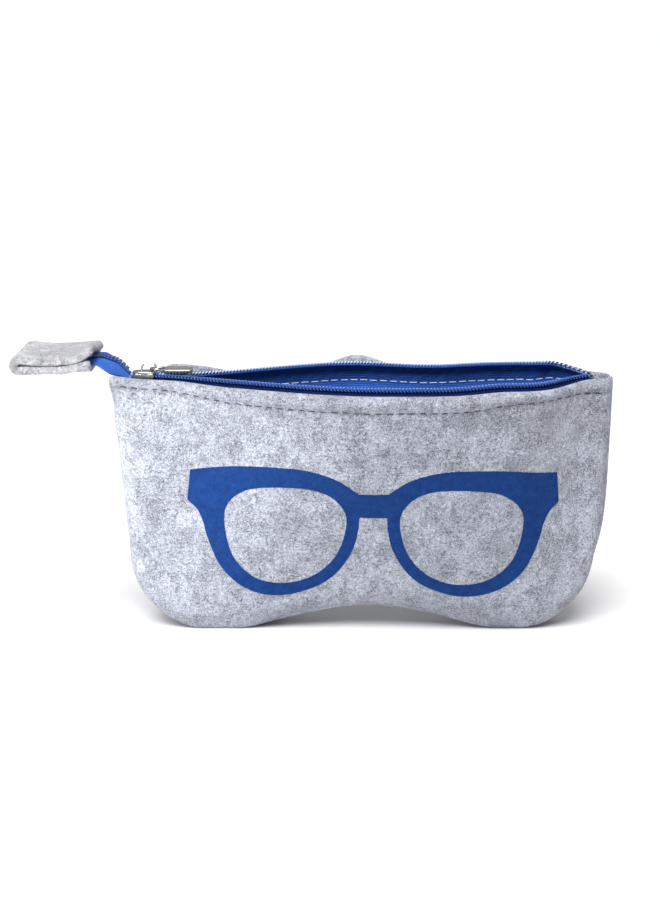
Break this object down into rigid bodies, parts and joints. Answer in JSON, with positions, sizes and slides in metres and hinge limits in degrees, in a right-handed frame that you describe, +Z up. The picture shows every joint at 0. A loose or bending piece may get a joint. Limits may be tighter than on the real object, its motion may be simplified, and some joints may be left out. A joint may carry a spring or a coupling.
{
  "type": "eyeglasses case",
  "caption": "Soft felt spectacles pouch with a gaping zipped mouth, two rounded lobes to stand on, a printed spectacles pictogram and a folded felt tab at the zip's end.",
  "frame": {"origin": "centre of the base of the part's bounding box, on the surface that the lobes stand on", "axes": "+X along the zip towards its closed end, +Y from the front panel to the back panel, +Z up"},
  "size_m": [0.2335, 0.0711, 0.1141],
  "materials": {
    "felt": "matte needled felt with dark flecks",
    "tab_felt": "matte needled felt with dark flecks",
    "print": "flat screen print on felt",
    "zip_tape": "woven polyester tape",
    "zip_coil": "satin nylon coil",
    "zip_cord": "matte filler cord",
    "thread": "matte sewing thread",
    "slider_metal": "polished plating",
    "puller_metal": "polished plating"
  },
  "bodies": {
    "pouch": {"front_panel": "felt", "back_panel": "felt", "seam_thread": "thread", "front_topstitch": "thread", "back_topstitch": "thread", "front_print": "print"},
    "front_lip": {"front_tape": "zip_tape", "front_coil": "zip_coil", "front_coil_cord": "zip_cord"},
    "back_lip": {"back_tape": "zip_tape", "back_coil": "zip_coil", "back_coil_cord": "zip_cord"},
    "slider": {"slider_body": "slider_metal", "slider_bridge": "slider_metal"},
    "puller": {"pull_tab": "puller_metal"},
    "tab": {"tail_tape_front": "zip_tape", "tail_tape_back": "zip_tape", "tail_coil": "zip_coil", "end_tab": "tab_felt", "end_tab_thread": "thread"}
  },
  "joints": [
    {"name": "slider_travel", "type": "slide", "parent": "pouch", "child": "slider", "axis": [1, 0, 0], "range_m": [0, 0.165]},
    {"name": "puller_swing", "type": "hinge", "parent": "slider", "child": "puller", "pos_m": [-0.06115, 0, 0.10315], "axis": [0, -1, 0], "range_deg": [0, 155]},
    {"name": "tab_flex", "type": "hinge", "parent": "pouch", "child": "tab", "pos_m": [-0.07525, 0, 0.103], "axis": [0, 1, 0], "range_deg": [-30, 60], "stiffness_Nm_per_rad": 0.01, "springref_deg": 3.44, "deforming": ["tail_tape_front", "tail_tape_back", "tail_coil"]},
    {"name": "front_lip_close", "type": "slide", "parent": "pouch", "child": "front_lip", "axis": [0, 0.9993, 0.037], "range_m": [0, 0.02702], "deforming": ["front_tape", "front_coil", "front_coil_cord"]},
    {"name": "back_lip_close", "type": "slide", "parent": "pouch", "child": "back_lip", "axis": [0, -0.9985, -0.0555], "range_m": [0, 0.02704], "deforming": ["back_tape", "back_coil", "back_coil_cord"]}
  ],
  "couplings": [
    {"joint": "front_lip_close", "follows": "slider_travel", "ratio": 0.16375},
    {"joint": "back_lip_close", "follows": "slider_travel", "ratio": 0.16389}
  ]
}
